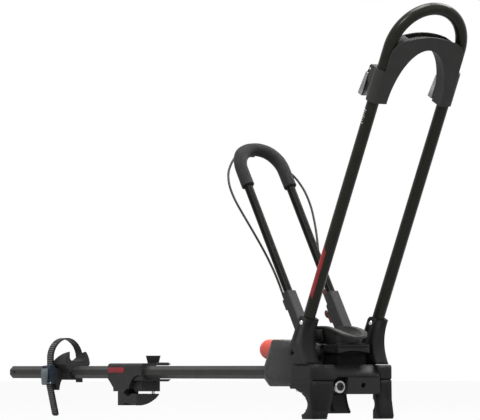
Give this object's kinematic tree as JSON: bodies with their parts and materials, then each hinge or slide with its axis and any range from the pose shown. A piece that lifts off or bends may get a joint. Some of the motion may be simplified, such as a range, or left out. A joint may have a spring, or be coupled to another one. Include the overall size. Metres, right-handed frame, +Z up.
{
  "type": "roof mounted bike carrier",
  "caption": "Tray on two roof crossbars that holds a bicycle by its front wheel between two folding hoops, with a sliding rear clamp and a strap for the rear wheel.",
  "frame": {"origin": "centre of the front crossbar's seat, on the crossbar's axis and midway between the two feet", "axes": "+X to the front of the vehicle along the tray bar, +Z up; the near side of the picture is -Y"},
  "size_m": [1.6614, 0.2184, 0.8743],
  "materials": {
    "black_tube": "satin",
    "black_plastic": "textured",
    "black_gloss_plastic": "satin",
    "red_plastic": "satin",
    "black_rubber": "matte",
    "bright_metal": "brushed",
    "steel": "zinc plated",
    "grey_plastic": "satin",
    "black_cable": "satin"
  },
  "bodies": {
    "carrier": {"tray_bar": "black_tube", "bar_end_cap": "black_plastic", "head_housing": "black_plastic", "bar_screw": "steel", "near_side_casting": "black_plastic", "far_side_casting": "black_plastic", "near_foot": "black_plastic", "far_foot": "black_plastic", "foot_pads": "black_rubber", "foot_bolts": "steel", "front_crossmember": "black_plastic", "tie_bolt": "bright_metal", "tie_bolt_cap": "black_gloss_plastic", "hoop_axle": "steel", "axle_spacers": "black_plastic", "wheel_cradle": "black_plastic", "cradle_screws": "steel"},
    "tension_screw": {"tension_knob": "red_plastic", "draw_screw": "steel", "thrust_collar": "steel"},
    "front_grip": {"front_jaw": "black_plastic", "draw_nut": "steel", "jaw_pad": "black_rubber"},
    "tall_hoop": {"tall_hoop_tube": "black_tube", "near_hoop_bracket": "black_plastic", "far_hoop_bracket": "black_plastic", "hoop_rivets": "steel"},
    "bridge": {"tyre_bridge": "black_plastic", "cam_pins": "steel", "brake_shoes": "black_rubber"},
    "near_cam": {"near_cam_lever": "black_gloss_plastic", "near_lever_face": "bright_metal"},
    "far_cam": {"far_cam_lever": "black_gloss_plastic", "far_lever_face": "bright_metal"},
    "small_hoop": {"small_hoop_tube": "black_tube", "near_hoop_socket": "black_plastic", "far_hoop_socket": "black_plastic", "socket_pins": "steel", "grip_pad": "black_rubber", "trigger_housing": "black_plastic", "near_release_cable": "black_cable", "far_release_cable": "black_cable", "far_cable_stop": "red_plastic", "near_cable_stop": "black_plastic", "pawl_housing": "black_plastic", "thumb_pin": "steel"},
    "trigger": {"release_trigger": "black_gloss_plastic"},
    "thumb": {"thumb_lever": "red_plastic"},
    "rear_clamp": {"rear_clamp_body": "black_plastic"},
    "rear_knob": {"clamp_knob": "black_plastic"},
    "rear_grip": {"rear_jaw": "black_plastic", "clamp_rod": "steel"},
    "chock": {"wheel_chock": "black_plastic", "tyre_strap": "black_rubber", "anchor_screw": "steel", "buckle_base": "black_plastic", "buckle_pin": "steel"},
    "buckle": {"buckle_lever": "grey_plastic"}
  },
  "joints": [
    {"name": "tension_knob_turn", "type": "hinge", "parent": "carrier", "child": "tension_screw", "pos_m": [-0.24, 0, 0.1185], "axis": [1, 0, 0], "range_deg": [-2520, 540]},
    {"name": "front_jaw_slide", "type": "slide", "parent": "carrier", "child": "front_grip", "axis": [1, 0, 0], "range_m": [-0.014, 0.003]},
    {"name": "tall_hoop_fold", "type": "hinge", "parent": "carrier", "child": "tall_hoop", "pos_m": [-0.038, 0, 0.11], "axis": [0, 1, 0], "range_deg": [-112, 0], "deforming": ["near_release_cable", "far_release_cable"]},
    {"name": "bridge_slide", "type": "slide", "parent": "tall_hoop", "child": "bridge", "axis": [-0.4555, 0, -0.8902], "range_m": [-0.004, 0.15]},
    {"name": "near_cam_open", "type": "hinge", "parent": "bridge", "child": "near_cam", "pos_m": [0.23589, -0.092, 0.7045], "axis": [0, 1, 0], "range_deg": [0, 95]},
    {"name": "far_cam_open", "type": "hinge", "parent": "bridge", "child": "far_cam", "pos_m": [0.23589, 0.092, 0.7045], "axis": [0, 1, 0], "range_deg": [0, 95]},
    {"name": "small_hoop_swing", "type": "hinge", "parent": "carrier", "child": "small_hoop", "pos_m": [-0.038, 0, 0.11], "axis": [0, 1, 0], "range_deg": [-50, 35]},
    {"name": "trigger_press", "type": "slide", "parent": "small_hoop", "child": "trigger", "axis": [-0.5432, 0, 0.8396], "range_m": [0, 0.006], "stiffness_N_per_m": 600, "springref_m": -0.005},
    {"name": "thumb_lever_press", "type": "hinge", "parent": "small_hoop", "child": "thumb", "pos_m": [-0.11988, 0.0567, 0.20233], "axis": [0, 1, 0], "range_deg": [0, 30], "stiffness_Nm_per_rad": 0.05, "springref_deg": -11.46},
    {"name": "rear_clamp_slide", "type": "slide", "parent": "carrier", "child": "rear_clamp", "axis": [1, 0, 0], "range_m": [-0.075, 0.4]},
    {"name": "rear_knob_turn", "type": "hinge", "parent": "rear_clamp", "child": "rear_knob", "pos_m": [-0.78, 0.034, 0.095], "axis": [0, 0, 1], "range_deg": [0, 4608]},
    {"name": "rear_jaw_slide", "type": "slide", "parent": "rear_clamp", "child": "rear_grip", "axis": [0, 0, -1], "range_m": [0, 0.016]},
    {"name": "chock_slide", "type": "slide", "parent": "carrier", "child": "chock", "axis": [1, 0, 0], "range_m": [-0.14, 0.075]},
    {"name": "buckle_open", "type": "hinge", "parent": "chock", "child": "buckle", "pos_m": [-1.1, -0.051, 0.044], "axis": [1, 0, 0], "range_deg": [0, 35], "stiffness_Nm_per_rad": 0.05, "springref_deg": -11.46}
  ],
  "couplings": [
    {"joint": "tension_knob_turn", "follows": "front_jaw_slide", "rad_per_m": 3141.6},
    {"joint": "rear_knob_turn", "follows": "rear_jaw_slide", "rad_per_m": 5026.5}
  ]
}
